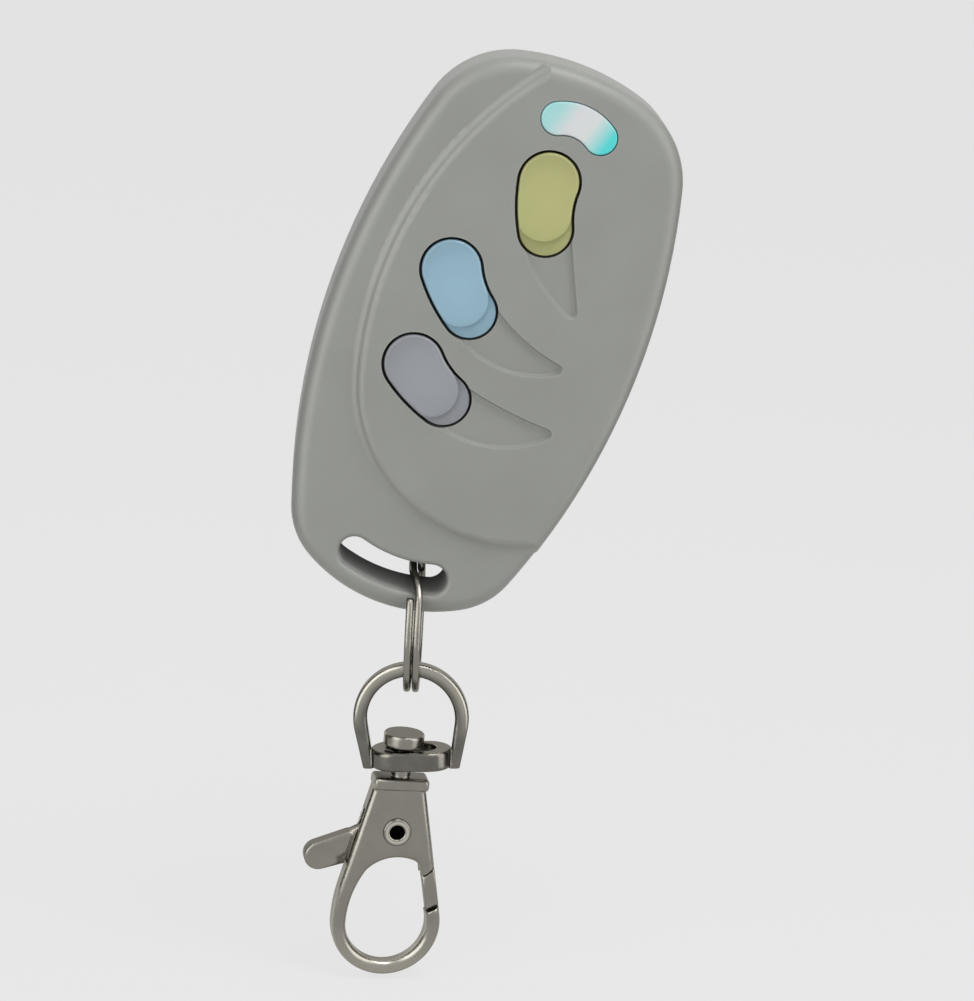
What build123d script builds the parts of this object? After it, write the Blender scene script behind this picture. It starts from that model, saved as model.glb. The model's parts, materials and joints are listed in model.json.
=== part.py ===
"""Three-button wireless remote control, hanging with its split ring and swivel snap hook.

Millimetres. The flat back face lies in the plane Y = 0 with its centre at the origin, the
buttons face -Y, and +Z points up along the hanging chain. The remote leans in its own plane.
"""

import os
from math import acos, atan2, cos, radians, sin, sqrt, tan

from build123d import *

os.makedirs("parts", exist_ok=True)

# Case outline, in the remote's own plane: u across, v along, w out of the back face
case_tilt = 16.0
case_width = 36.2
case_length = 65.7
side_radius = 82.0
side_centre = 1.8
top_radius = 28.0
bottom_radius = 19.0
top_corner = 11.0
bottom_corner = 9.0

# Case depth and walls
case_depth = 11.4
shelf_drop = 0.8
split_depth = 5.6
side_wall = 1.6
front_wall = 1.4
rear_wall = 1.5
front_round = 1.8
rear_round = 2.0
step_slope = 45.0
step_round = 1.1
step_margin = 0.05
tail_slope_start = 21.5
tail_slope = 10.0

# Raised plateau on the front, bounded on the left by two tangent arcs
sweep_centre = (30.35, 4.45)
sweep_radius = 44.0
turn_radius = 18.7
turn_angle = 197.0
sweep_arc_angle = 72.0
turn_arc_angle = 130.0

# Key-ring slot at the lower end
slot_width = 3.6
slot_path_radius = 17.0
slot_half_angle = 16.2
slot_bar = 2.45
slot_rim = 0.6
slot_wall = 2.8

# Lip of the rear cover, inside a rebate of the front cover
lip_height = 0.8
lip_thickness = 0.7
lip_clearance = 0.1

# Buttons: centre across the case and down from its top end, and turn of the long axis
button_places = {
    "upper": (1.0, 14.85, 17.0),
    "middle": (-4.85, 27.45, 43.5),
    "lower": (-4.55, 38.65, 59.5),
}
button_top_radius = 3.35
button_bottom_radius = 2.95
button_top_offset = 2.15
button_bottom_offset = 3.25
button_waist_radius = 8.4
button_back_radius = 20.0
button_gap = 0.33
button_proud = 0.15
button_round = 0.3
button_step_radius = 3.1
button_step_centre = (-0.35, -1.45)
button_step_drop = 0.5
button_flange = 0.5
button_flange_thickness = 0.6
button_play = 0.1
stem_radius = 1.3

# Shallow comma-shaped recesses, each measured from its button's centre: outer arc, tip, inner arc
recess_depth = 0.5
recess_draft = 30.0
recess_tip_radius = 0.7
recess_tails = {
    "upper": ((-1.6, -4.1), (2.4, -8.95), (8.6, -12.05), (5.83, -6.54), (3.2, -1.0)),
    "middle": ((-0.35, -3.5), (7.15, -7.25), (15.75, -4.5), (9.65, -3.2), (3.45, 0.3)),
    "lower": ((0.15, -3.2), (7.15, -5.3), (16.75, -0.5), (10.35, -0.2), (3.05, 1.2)),
}

# Light window above the upper button, placed across the case and down from its top end
window_place = (0.95, 5.2)
window_turn = -4.0
window_path_radius = 5.2
window_half_angle = 30.5
window_width = 4.0
window_clearance = 0.05
window_flange = 0.5
window_flange_thickness = 0.6
window_round = 0.3

# Stack inside the case, from the rear wall to the front
strap_width = 5.0
strap_thickness = 0.25
strap_side_gap = 0.15
cell_diameter = 20.0
cell_thickness = 3.2
cell_centre = (0.0, -5.0)
cell_cap_inset = 1.2
cell_cap_height = 0.6
cell_round = 0.3
cradle_gap = 0.25
cradle_wall = 1.0
cradle_height = 2.5
cradle_opening = 6.4
contact_diameter = 8.0
contact_thickness = 0.3
board_thickness = 1.0
board_edge_gap = 1.0
board_end = 16.5
post_radius = 1.4
post_pin_radius = 0.65
post_pin_clearance = 0.1
post_pin_rise = 0.3
post_insets = (6.5, 9.1)
post_heights = (12.5, -14.6)

# Parts on the front of the board
switch_size = 4.5
switch_height = 1.4
switch_floor = 0.35
switch_corner = 0.4
plunger_radius = 1.0
plunger_clearance = 0.1
plunger_length = 1.0
plunger_rise = 0.35
light_size = (2.0, 1.2, 0.7)
light_offset = (0.1, -1.05)
chip_size = (3.9, 4.9, 1.2)
chip_centre = (8.4, -3.6)
chip_lead_size = (1.0, 0.4, 0.2)
chip_lead_pitch = 1.27
chip_lead_count = 4
chip_lead_rise = 0.3
resonator_size = (5.0, 3.5, 1.3)
resonator_centre = (8.4, 4.4)
resonator_lid_inset = 0.5
resonator_lid_height = 0.4
small_part_size = (1.6, 0.8, 0.6)
small_part_centre = (7.6, -11.0)
small_part_spacing = (2.6, 2.2)
small_part_counts = (2, 3)
antenna_inset = 0.6
antenna_width = 0.7
antenna_height = 0.3
antenna_end = 2.0

# Case screws
screw_place = (10.4, -19.5)
screw_boss_radius = 2.3
screw_head_radius = 1.75
screw_head_height = 1.1
screw_head_clearance = 0.2
screw_head_round = 0.4
screw_seat = 1.9
screw_radius = 0.95
screw_clearance = 0.2
screw_pilot_clearance = 0.05
screw_length = 6.4
screw_tip_gap = 0.4
screw_recess = (2.2, 0.5, 0.6)

# Chain: split ring, swivel eye and snap hook, placed along X below the slot
ring_place = -4.1
chain_turn = -3.0
hang_gap = 0.35

# Split ring: two turns of flat wire, one unbroken form
ring_outer_diameter = 16.0
ring_wire_height = 1.35
ring_wire_width = 0.85
ring_turn_gap = 0.42
ring_wire_round = 0.3
ring_crossing_angle = 40.0
ring_crossing_span = 50.0
ring_sections = 7

# Swivel eye
eye_radius = 6.8
eye_wire = 1.63
eye_thickness = 1.8
eye_wire_round = 0.5
eye_lean = 5.5
eye_offset = 0.3
eye_leg_length = 6.0
eye_foot_half = 5.7
eye_foot_width = 1.3
base_length = 9.6
base_depth = 5.6
base_thickness = 2.3
base_drop = 3.6
base_hole_length = 6.0
base_hole_depth = 3.4
base_round = 0.4

# Snap hook body, in its own plane: x across, y up from the top of its collar
stem_place = -4.4
hook_turn = 7.0
head_radius = 2.4
head_height = 1.55
head_round = 0.25
head_gap = 0.2
neck_radius = 1.15
collar_drop = 3.6
collar_width = 6.6
collar_height = 1.5
collar_depth = 3.6
collar_round = 0.5
body_depth = 3.0
hook_depth = 2.2
taper_start = 6.0
taper_end = 25.5
body_round = 0.8
shoulder_left = (-3.25, -1.0)
flank_angle = 13.5
shoulder_right = (2.95, -1.0)
loop_centre = (-0.3, -18.25)
loop_radius = 6.53
loop_inner_radius = 4.8
arch_left = (-3.2, -11.65)
arch_top = (0.25, -9.95)
arch_right = (3.0, -10.55)
arch_corner = 1.2
pivot = (-0.05, -6.56)

# Lever, turning in the pocket of the snap hook body
pocket_width = 1.6
lever_thickness = 1.0
lever_side_gap = 0.1
lever_hub_radius = 2.4
lever_gap = 0.3
lever_opening = 25.0
tab_root = (-5.3, -8.76)
tab_root_radius = 1.85
tab_end = (-9.05, -10.1)
tab_end_radius = 1.7
tab_gap = 0.35
grip_thickness = 2.0
gate_width = 1.6
gate_arm_end = 7.4
gate_arm_radius = 0.78
cheek_radius = 6.5
gate_start_radius = 6.8
gate_end_radius = 10.85
hook_tip_radius = 11.1
lever_round = 0.35

# Hollow rivet and the lever's spring
rivet_radius = 1.3
rivet_hole_radius = 0.85
rivet_hole_depth = 2.8
rivet_mouth_round = 0.25
rivet_flange_radius = 1.7
rivet_flange_height = 0.35
rivet_flange_round = 0.3
rivet_clearance = 0.02
lever_bore_clearance = 0.05
spring_wire_radius = 0.17
spring_gap = 0.05
spring_radius = 1.75
spring_leg = 1.6
spring_turn = 250.0


def tangent_point(centre, radius, point, turn):
    """Where a line from an outside point touches a circle, turned one way or the other from it."""
    reach = Vector(point) - Vector(centre)
    angle = atan2(reach.Y, reach.X) + turn * acos(radius / reach.length)
    return centre[0] + radius * cos(angle), centre[1] + radius * sin(angle)


# Walls, levels and places inside the case, from the sizes above
shelf_depth = case_depth - shelf_drop
ceiling = shelf_depth - front_wall
top_centre = case_length / 2 - top_radius
bottom_centre = bottom_radius - case_length / 2
slot_low_radius = slot_path_radius + slot_width / 2
slot_arc_centre = slot_bar - case_length / 2 + slot_low_radius
cavity_end = slot_arc_centre - slot_path_radius + slot_width / 2 + slot_wall
overlap = 0.5
clip = 0.01
nearly_parallel = cos(radians(15))
step_run = shelf_drop / tan(radians(step_slope))
step_foot = step_run / 2 + step_round * tan(radians(step_slope / 2))
post_places = [
    (side * (case_width / 2 - inset), height)
    for inset, height in zip(post_insets, post_heights)
    for side in (-1, 1)
]
screw_places = (screw_place, (-screw_place[0], screw_place[1]))
window_centre = (window_place[0], case_length / 2 - window_place[1])
light_centre = (window_centre[0] + light_offset[0], window_centre[1] + light_offset[1])

cell_base = rear_wall + strap_thickness
contact_base = cell_base + cell_thickness
board_base = contact_base + contact_thickness
board_top = board_base + board_thickness
switch_top = board_top + switch_height
plunger_top = switch_top + plunger_rise
flange_top = ceiling - button_play

# Planes of the case, and the chain's line below its slot
case_u = Vector(cos(radians(case_tilt)), 0, -sin(radians(case_tilt)))
case_v = Vector(sin(radians(case_tilt)), 0, cos(radians(case_tilt)))
case_plane = Plane(origin=(0, 0, 0), x_dir=case_u, z_dir=(0, -1, 0))
side_plane = Plane(origin=(0, 0, 0), x_dir=case_v, z_dir=case_u)

bar_back = (slot_low_radius - slot_arc_centre - tail_slope_start) * tan(radians(tail_slope))
bar_depth = shelf_depth - bar_back
chain_depth = -(shelf_depth + bar_back) / 2
slot_arc_x = slot_arc_centre * sin(radians(case_tilt))
slot_arc_z = slot_arc_centre * cos(radians(case_tilt))
bar_top = slot_arc_z - sqrt(slot_low_radius**2 - (ring_place - slot_arc_x) ** 2)

# Split ring and swivel eye
ring_radius = ring_outer_diameter / 2
ring_inner_radius = ring_radius - ring_wire_height
ring_pitch = ring_wire_width + ring_turn_gap
ring_reach = sqrt((ring_inner_radius - hang_gap - slot_rim) ** 2 - (bar_depth / 2 - slot_rim) ** 2)
ring_centre = Vector(ring_place, chain_depth, bar_top - slot_rim - ring_reach)
chain_side = Vector(cos(radians(chain_turn)), sin(radians(chain_turn)), 0)
chain_front = Vector(sin(radians(chain_turn)), -cos(radians(chain_turn)), 0)
ring_axis = Axis(ring_centre, chain_side)

eye_inner_radius = eye_radius - eye_wire
eye_up = Vector(0, 0, 1) * cos(radians(eye_lean)) - chain_side * sin(radians(eye_lean))
eye_side = chain_side * cos(radians(eye_lean)) + Vector(0, 0, 1) * sin(radians(eye_lean))
eye_centre = ring_centre + chain_side * eye_offset
eye_centre -= Vector(0, 0, ring_inner_radius - hang_gap + eye_inner_radius)
eye_plane = Plane(origin=eye_centre, x_dir=eye_side, z_dir=chain_front)
eye_base_plane = Plane(origin=eye_centre - eye_up * base_drop, x_dir=eye_side, z_dir=eye_up)

# Snap hook: its own frame, and the tangent points of its outline
collar_top = eye_base_plane.origin.Z - collar_drop
head_base = eye_base_plane.origin.Z + head_gap
hook_side = Vector(cos(radians(hook_turn)), sin(radians(hook_turn)), 0)
hook_front = Vector(sin(radians(hook_turn)), -cos(radians(hook_turn)), 0)
hook_origin = Vector(stem_place, chain_depth, collar_top)
hook_place = Location(Plane(origin=hook_origin, x_dir=hook_side, z_dir=hook_front))
stem_plane = Plane(origin=(0, 0, 0), x_dir=(1, 0, 0), z_dir=(0, 1, 0))
profile_plane = Plane(origin=(0, 0, 0), x_dir=(0, 1, 0), z_dir=(-1, 0, 0))
loop_left = (loop_centre[0] - loop_radius, loop_centre[1])
loop_bottom = (loop_centre[0], loop_centre[1] - loop_radius)
loop_right = tangent_point(loop_centre, loop_radius, shoulder_right, -1)
void_left = (loop_centre[0] - loop_inner_radius, loop_centre[1])
void_bottom = (loop_centre[0], loop_centre[1] - loop_inner_radius)
void_right = tangent_point(loop_centre, loop_inner_radius, arch_right, -1)
edge_line = (Vector(loop_right) - Vector(shoulder_right)).normalized()
flank_line = Vector(-sin(radians(flank_angle)), -cos(radians(flank_angle)))
flank_length = (shoulder_left[0] - loop_left[0]) / tan(radians(flank_angle / 2))
flank_length -= shoulder_left[1] - loop_left[1]
flank_end = Vector(shoulder_left) + flank_line * flank_length
eye_foot = (eye_foot_half, -eye_leg_length)
eye_foot_inside = (eye_foot_half - eye_foot_width, -eye_leg_length)
eye_outer_end = tangent_point((0, 0), eye_radius, eye_foot, 1)
eye_inner_end = tangent_point((0, 0), eye_inner_radius, eye_foot_inside, 1)


def along_edge(inset, reach):
    """Point this far inside the hook's right edge and this far from the pivot, below it."""
    start = Vector(shoulder_right) + Vector(edge_line.Y, -edge_line.X) * inset - Vector(pivot)
    foot = start - edge_line * start.dot(edge_line)
    return Vector(pivot) + foot + edge_line * sqrt(reach**2 - foot.length**2)


def flank_point(inset, down):
    """Point this far inside the hook's left flank and this far down along it."""
    inward = Vector(-flank_line.Y, flank_line.X)
    return Vector(shoulder_left) + inward * inset + flank_line * down


gate_arm_place = along_edge(gate_width / 2, gate_arm_end)

slot_path = CenterArc((0, slot_arc_centre), slot_path_radius, -90 - slot_half_angle, 2 * slot_half_angle)
window_path = CenterArc(
    (window_centre[0], window_centre[1] - window_path_radius),
    window_path_radius,
    90 + window_turn - window_half_angle,
    2 * window_half_angle,
)


def level(depth):
    """Plane parallel to the back face, this far in front of it."""
    return case_plane.offset(depth)


def outline_face(inset=0.0):
    """The case's outline: two side arcs, a top arc and a bottom arc, with rounded corners."""
    with BuildSketch() as face:
        with Locations((0, top_centre)):
            Circle(top_radius - inset)
        with Locations((0, bottom_centre)):
            Circle(bottom_radius - inset)
        with Locations((0, (top_centre + bottom_centre) / 2)):
            Rectangle(2 * bottom_radius, top_centre - bottom_centre)
        for side in (-1, 1):
            with Locations((side * (case_width / 2 - side_radius), side_centre)):
                Circle(side_radius - inset, mode=Mode.INTERSECT)
        fillet(face.vertices().sort_by(Axis.Y)[:2], bottom_corner - inset)
        fillet(face.vertices().sort_by(Axis.Y)[-2:], top_corner - inset)
    return face.sketch


def cavity_face(grow=0.0):
    """The hollow inside the side walls, ending above the key-ring slot."""
    with BuildSketch() as face:
        add(outline_face(side_wall - grow))
        with Locations((0, cavity_end - grow)):
            Rectangle(2 * case_width, case_length, align=(Align.CENTER, Align.MAX), mode=Mode.SUBTRACT)
    return face.sketch


def plateau_face(grow=0.0):
    """What lies to the right of the swoosh, and past the case on the other sides."""
    turn_centre = (
        sweep_centre[0] + (sweep_radius - turn_radius) * cos(radians(turn_angle)),
        sweep_centre[1] + (sweep_radius - turn_radius) * sin(radians(turn_angle)),
    )
    with BuildSketch() as face:
        with BuildLine():
            sweep_arc = CenterArc(sweep_centre, sweep_radius + grow, turn_angle, -sweep_arc_angle)
            turn_arc = CenterArc(turn_centre, turn_radius + grow, turn_angle, turn_arc_angle)
            Polyline(sweep_arc @ 1, (case_length, case_length), (case_length, -case_width), turn_arc @ 1)
        make_face()
    return face.sketch


def is_on_step(edge):
    """True for the arcs along the top and the foot of the plateau's sloping edge."""
    on_top = abs(edge.center().Y + case_depth) < overlap / 2
    grow = -step_run / 2 if on_top else step_run / 2
    radii = (sweep_radius + grow, turn_radius + grow)
    return edge.geom_type == GeomType.CIRCLE and min(abs(edge.radius - radius) for radius in radii) < clip


def bean_face(grow=0.0):
    """Button outline: two lobes, a hollow waist on the right and a full back on the left."""
    top_r = button_top_radius
    bottom_r = button_bottom_radius
    span = button_top_offset + button_bottom_offset

    def side_circle(to_top, to_bottom):
        """Height below the top lobe and distance from the axis of a circle touching both lobes."""
        along = (span**2 + to_top**2 - to_bottom**2) / (2 * span)
        return along, sqrt(to_top**2 - along**2)

    waist_along, waist_out = side_circle(button_waist_radius + top_r, button_waist_radius + bottom_r)
    back_along, back_out = side_circle(button_back_radius - top_r, button_back_radius - bottom_r)
    top = Vector(0, button_top_offset)
    bottom = Vector(0, -button_bottom_offset)
    waist = Vector(waist_out, button_top_offset - waist_along)
    back = Vector(back_out, button_top_offset - back_along)
    top_right = top + (waist - top).normalized() * top_r
    bottom_right = bottom + (waist - bottom).normalized() * bottom_r
    top_left = back + (top - back).normalized() * button_back_radius
    bottom_left = back + (bottom - back).normalized() * button_back_radius
    waist_mid = waist - Vector(button_waist_radius, 0)
    back_mid = back - Vector(button_back_radius, 0)
    with BuildSketch() as face:
        with BuildLine():
            ThreePointArc(top_left, top + Vector(0, top_r), top_right)
            ThreePointArc(top_right, waist_mid, bottom_right)
            ThreePointArc(bottom_right, bottom - Vector(0, bottom_r), bottom_left)
            ThreePointArc(bottom_left, back_mid, top_left)
        make_face()
        if grow:
            offset(amount=grow)
    return face.sketch


def button_centre(name):
    """Centre of a button in the remote's own plane."""
    across, down, _ = button_places[name]
    return Location((across, case_length / 2 - down, 0))


def button_location(name):
    """Centre of a button, turned along its long axis."""
    return button_centre(name) * Location((0, 0, 0), (0, 0, button_places[name][2]))


def recess_face(name):
    """Comma-shaped recess: two side arcs meeting at a rounded tip, closed under the button."""
    outer_end, outer_mid, tip, inner_mid, inner_end = recess_tails[name]
    with BuildSketch() as face:
        with BuildLine():
            ThreePointArc(outer_end, outer_mid, tip)
            ThreePointArc(tip, inner_mid, inner_end)
            Line(inner_end, outer_end)
        make_face()
        fillet(face.vertices().sort_by_distance(tip)[0], recess_tip_radius)
    return face.sketch


def button_part(name):
    """Button: retaining flange, stem and a cap whose lower end is stepped down."""
    place = button_location(name)
    cap_top = case_depth + button_proud
    with BuildPart() as button:
        with BuildSketch(level(flange_top) * place):
            add(bean_face())
        extrude(amount=cap_top - flange_top)
        fillet(button.faces().sort_by(Axis.Y)[0].edges(), button_round)
        with BuildSketch(level(cap_top - button_step_drop) * place):
            with Locations((0, button_step_centre[1])):
                Rectangle(case_width, case_width, align=(Align.CENTER, Align.MAX))
            with Locations(button_step_centre):
                Circle(button_step_radius, mode=Mode.SUBTRACT)
        extrude(amount=case_depth, mode=Mode.SUBTRACT)
        with BuildSketch(level(flange_top - button_flange_thickness) * place):
            add(bean_face(button_gap + button_flange))
        extrude(amount=button_flange_thickness)
        with BuildSketch(level(plunger_top) * place):
            Circle(stem_radius)
        extrude(amount=flange_top - plunger_top)
    return button.part


def switch_body_part(name):
    """Square switch body with cut corners and the bore of its plunger."""
    place = button_location(name)
    with BuildPart() as body:
        with BuildSketch(level(board_top) * place) as foot:
            Rectangle(switch_size, switch_size)
            chamfer(foot.vertices(), switch_corner)
        extrude(amount=switch_height)
        with BuildSketch(level(board_top + switch_floor) * place):
            Circle(plunger_radius + plunger_clearance)
        extrude(amount=switch_height, mode=Mode.SUBTRACT)
    return body.part


def plunger_part(name):
    """Round plunger between a switch body and the stem of its button."""
    with BuildPart() as plunger:
        with BuildSketch(level(plunger_top - plunger_length) * button_location(name)):
            Circle(plunger_radius)
        extrude(amount=plunger_length)
    return plunger.part


def ring_wire_plane(angle, shift):
    """Plane across the ring's wire, at this angle from the ring's top toward the front."""
    outward = Vector(0, 0, 1) * cos(radians(angle)) + chain_front * sin(radians(angle))
    middle = ring_centre + outward * (ring_radius - ring_wire_height / 2) + chain_side * shift
    return Plane(origin=middle, x_dir=outward, z_dir=outward.cross(chain_side))


def ring_wire_face():
    """Section of the ring's flat wire."""
    with BuildSketch() as face:
        RectangleRounded(ring_wire_height, ring_wire_width, ring_wire_round)
    return face.sketch


def faces_hook_front(face):
    """True for the front and back faces of a piece in the hook's plane."""
    return abs(face.normal_at().Z) > nearly_parallel


def runs_across_hook(edge):
    """True for a straight edge along the hook's width."""
    return edge.geom_type == GeomType.LINE and abs((edge % 0).X) > nearly_parallel


def arm_face(end, end_radius, grow, openings):
    """Tapered arm from the lever's hub to a round end, over these openings of the lever."""
    with BuildSketch() as face:
        with Locations(pivot):
            Circle(lever_hub_radius + grow)
        for opening in openings:
            turned = (Vector(end) - Vector(pivot)).rotate(Axis.Z, -opening)
            with Locations(Vector(pivot) + turned):
                Circle(end_radius + grow)
        make_hull()
    return face.sketch


# Front cover: shelf, plateau, button openings, recesses, window, slot, rebate and bosses
with BuildPart() as plateau_pillow:
    with BuildSketch(level(split_depth)):
        add(outline_face())
    extrude(amount=case_depth - split_depth)
    fillet(plateau_pillow.faces().sort_by(Axis.Y)[0].edges(), front_round)

with BuildPart() as plateau:
    with BuildSketch(level(split_depth)):
        add(plateau_face(step_foot + step_margin))
    extrude(amount=shelf_depth - split_depth)
    with BuildPart(mode=Mode.PRIVATE) as step:
        with BuildSketch(level(shelf_depth)):
            add(plateau_face(step_run / 2))
        with BuildSketch(level(case_depth)):
            add(plateau_face(-step_run / 2))
        loft(ruled=True)
    add(step.part)
    fillet(plateau.edges().filter_by(is_on_step), step_round)
    add(plateau_pillow.part, mode=Mode.INTERSECT)

with BuildPart() as front_cover:
    with BuildSketch(level(split_depth)):
        add(outline_face())
    extrude(amount=shelf_depth - split_depth)
    fillet(front_cover.faces().sort_by(Axis.Y)[0].edges(), front_round)
    with BuildSketch(level(split_depth)):
        SlotArc(slot_path, slot_width)
    extrude(amount=case_depth, mode=Mode.SUBTRACT)
    slot_edges = front_cover.faces().sort_by(Axis.Y)[0].inner_wires()[0].edges()
    fillet(slot_edges, slot_rim)
    add(plateau.part)
    with BuildSketch(level(split_depth)):
        add(cavity_face())
    extrude(amount=ceiling - split_depth, mode=Mode.SUBTRACT)
    with BuildSketch(level(split_depth)):
        add(cavity_face(lip_thickness + lip_clearance))
    extrude(amount=lip_height + lip_clearance, mode=Mode.SUBTRACT)
    for name in recess_tails:
        with BuildPart(mode=Mode.PRIVATE) as recess:
            with BuildSketch(level(case_depth) * button_centre(name)):
                add(recess_face(name))
            extrude(amount=-recess_depth, taper=recess_draft)
        add(recess.part, mode=Mode.SUBTRACT)
    for name in button_places:
        with BuildSketch(level(ceiling - overlap) * button_location(name)):
            add(bean_face(button_gap))
        extrude(amount=case_depth, mode=Mode.SUBTRACT)
    with BuildSketch(level(ceiling - overlap)):
        SlotArc(window_path, window_width)
    extrude(amount=case_depth, mode=Mode.SUBTRACT)
    with BuildSketch(level(split_depth)):
        with Locations(*screw_places):
            Circle(screw_boss_radius)
    extrude(amount=ceiling - split_depth + overlap)
    with BuildSketch(level(split_depth)):
        with Locations(*screw_places):
            Circle(screw_radius + screw_pilot_clearance)
    extrude(amount=screw_seat + screw_length + screw_tip_gap - split_depth, mode=Mode.SUBTRACT)
front_cover.part.label = "front_cover"
export_step(front_cover.part, "parts/front_cover.step")

# Rear cover: floor, walls, lip, screw bosses, board posts and the cradle of the coin cell
with BuildPart() as rear_cover:
    with BuildSketch(level(0)):
        add(outline_face())
    extrude(amount=split_depth)
    fillet(rear_cover.faces().sort_by(Axis.Y)[-1].edges(), rear_round)
    with BuildSketch(side_plane):
        with BuildLine():
            Polyline(
                (-tail_slope_start, 0),
                (-case_length, (case_length - tail_slope_start) * tan(radians(tail_slope))),
                (-case_length, -overlap),
                (-tail_slope_start, -overlap),
                close=True,
            )
        make_face()
    extrude(amount=case_width, both=True, mode=Mode.SUBTRACT)
    with BuildSketch(level(-overlap)):
        SlotArc(slot_path, slot_width)
    extrude(amount=case_depth, mode=Mode.SUBTRACT)
    tail_face = rear_cover.faces().filter_by(lambda face: face.inner_wires()).sort_by(Axis.Y)[-1]
    fillet(tail_face.inner_wires()[0].edges(), slot_rim)
    with BuildSketch(level(rear_wall)):
        add(cavity_face())
    extrude(amount=case_depth, mode=Mode.SUBTRACT)
    with BuildSketch(level(split_depth - overlap)):
        add(cavity_face(lip_thickness))
        add(cavity_face(), mode=Mode.SUBTRACT)
    extrude(amount=lip_height + overlap)
    with BuildSketch(level(rear_wall - overlap)):
        with Locations(*screw_places):
            Circle(screw_boss_radius)
    extrude(amount=split_depth - rear_wall + overlap)
    with BuildSketch(level(-overlap)):
        with Locations(*screw_places):
            Circle(screw_head_radius + screw_head_clearance)
    extrude(amount=screw_seat + overlap, mode=Mode.SUBTRACT)
    with BuildSketch(level(0)):
        with Locations(*screw_places):
            Circle(screw_radius + screw_clearance)
    extrude(amount=case_depth, mode=Mode.SUBTRACT)
    with BuildSketch(level(rear_wall - overlap)):
        with Locations(*post_places):
            Circle(post_radius)
    extrude(amount=board_base - rear_wall + overlap)
    with BuildSketch(level(board_base - overlap)):
        with Locations(*post_places):
            Circle(post_pin_radius)
    extrude(amount=board_thickness + post_pin_rise + overlap)
    with BuildSketch(level(rear_wall - overlap)):
        with Locations(cell_centre):
            Circle(cell_diameter / 2 + cradle_gap + cradle_wall)
            Circle(cell_diameter / 2 + cradle_gap, mode=Mode.SUBTRACT)
            Rectangle(2 * cell_diameter, cradle_opening, mode=Mode.SUBTRACT)
    extrude(amount=cradle_height + overlap)
rear_cover.part.label = "rear_cover"
export_step(rear_cover.part, "parts/rear_cover.step")

# Case screws: pan heads in the counterbores of the rear cover, with a cross slot
with BuildPart() as case_screws:
    with BuildSketch(level(screw_seat - screw_head_height)):
        with Locations(*screw_places):
            Circle(screw_head_radius)
    extrude(amount=screw_head_height)
    fillet(case_screws.faces().filter_by(Axis.Y).group_by(Axis.Y)[-1].edges(), screw_head_round)
    with BuildSketch(level(screw_seat - overlap)):
        with Locations(*screw_places):
            Circle(screw_radius)
    extrude(amount=screw_length + overlap)
    with BuildSketch(level(screw_seat - screw_head_height)):
        with Locations(*screw_places):
            Rectangle(screw_recess[0], screw_recess[1])
            Rectangle(screw_recess[1], screw_recess[0])
    extrude(amount=screw_recess[2], mode=Mode.SUBTRACT)
case_screws.part.label = "case_screws"
export_step(case_screws.part, "parts/case_screws.step")

# Battery clip: a strap under the coin cell with a leg up to the board on each side
leg_inside = cell_diameter / 2 + strap_side_gap
with BuildPart() as battery_clip:
    with BuildSketch(level(rear_wall)):
        with Locations(cell_centre):
            Rectangle(2 * (leg_inside + strap_thickness), strap_width)
    extrude(amount=board_base - rear_wall)
    with BuildSketch(level(cell_base)):
        with Locations(cell_centre):
            Rectangle(2 * leg_inside, strap_width)
    extrude(amount=case_depth, mode=Mode.SUBTRACT)
battery_clip.part.label = "battery_clip"
export_step(battery_clip.part, "parts/battery_clip.step")

# Coin cell: wide can with the smaller cap toward the board
with BuildPart() as coin_cell:
    with BuildSketch(level(cell_base)):
        with Locations(cell_centre):
            Circle(cell_diameter / 2)
    extrude(amount=cell_thickness - cell_cap_height)
    fillet(coin_cell.edges(), cell_round)
    with BuildSketch(level(contact_base - cell_cap_height - cell_round)):
        with Locations(cell_centre):
            Circle(cell_diameter / 2 - cell_cap_inset)
    extrude(amount=cell_cap_height + cell_round)
coin_cell.part.label = "coin_cell"
export_step(coin_cell.part, "parts/coin_cell.step")

# Battery contact: round spring plate between the cell and the board
with BuildPart() as battery_contact:
    with BuildSketch(level(contact_base)):
        with Locations(cell_centre):
            Circle(contact_diameter / 2)
    extrude(amount=contact_thickness)
battery_contact.part.label = "battery_contact"
export_step(battery_contact.part, "parts/battery_contact.step")

# Circuit board, cut off above the screws, with holes for the pins of the posts
with BuildPart() as circuit_board:
    with BuildSketch(level(board_base)):
        add(outline_face(side_wall + board_edge_gap))
        with Locations((0, -board_end)):
            Rectangle(2 * case_width, case_length, align=(Align.CENTER, Align.MAX), mode=Mode.SUBTRACT)
        with Locations(*post_places):
            Circle(post_pin_radius + post_pin_clearance, mode=Mode.SUBTRACT)
    extrude(amount=board_thickness)
circuit_board.part.label = "circuit_board"
export_step(circuit_board.part, "parts/circuit_board.step")

# Antenna loop: a raised conductor along the board's upper edge
with BuildPart() as antenna_loop:
    with BuildSketch(level(board_top)):
        add(outline_face(side_wall + board_edge_gap + antenna_inset))
        add(outline_face(side_wall + board_edge_gap + antenna_inset + antenna_width), mode=Mode.SUBTRACT)
        with Locations((0, antenna_end)):
            Rectangle(2 * case_width, case_length, align=(Align.CENTER, Align.MAX), mode=Mode.SUBTRACT)
    extrude(amount=antenna_height)
antenna_loop.part.label = "antenna_loop"
export_step(antenna_loop.part, "parts/antenna_loop.step")

# Indicator light on the board, under the window
with BuildPart() as status_led:
    with BuildSketch(level(board_top)):
        with Locations(light_centre):
            Rectangle(light_size[0], light_size[1])
    extrude(amount=light_size[2])
status_led.part.label = "status_led"
export_step(status_led.part, "parts/status_led.step")

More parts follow.
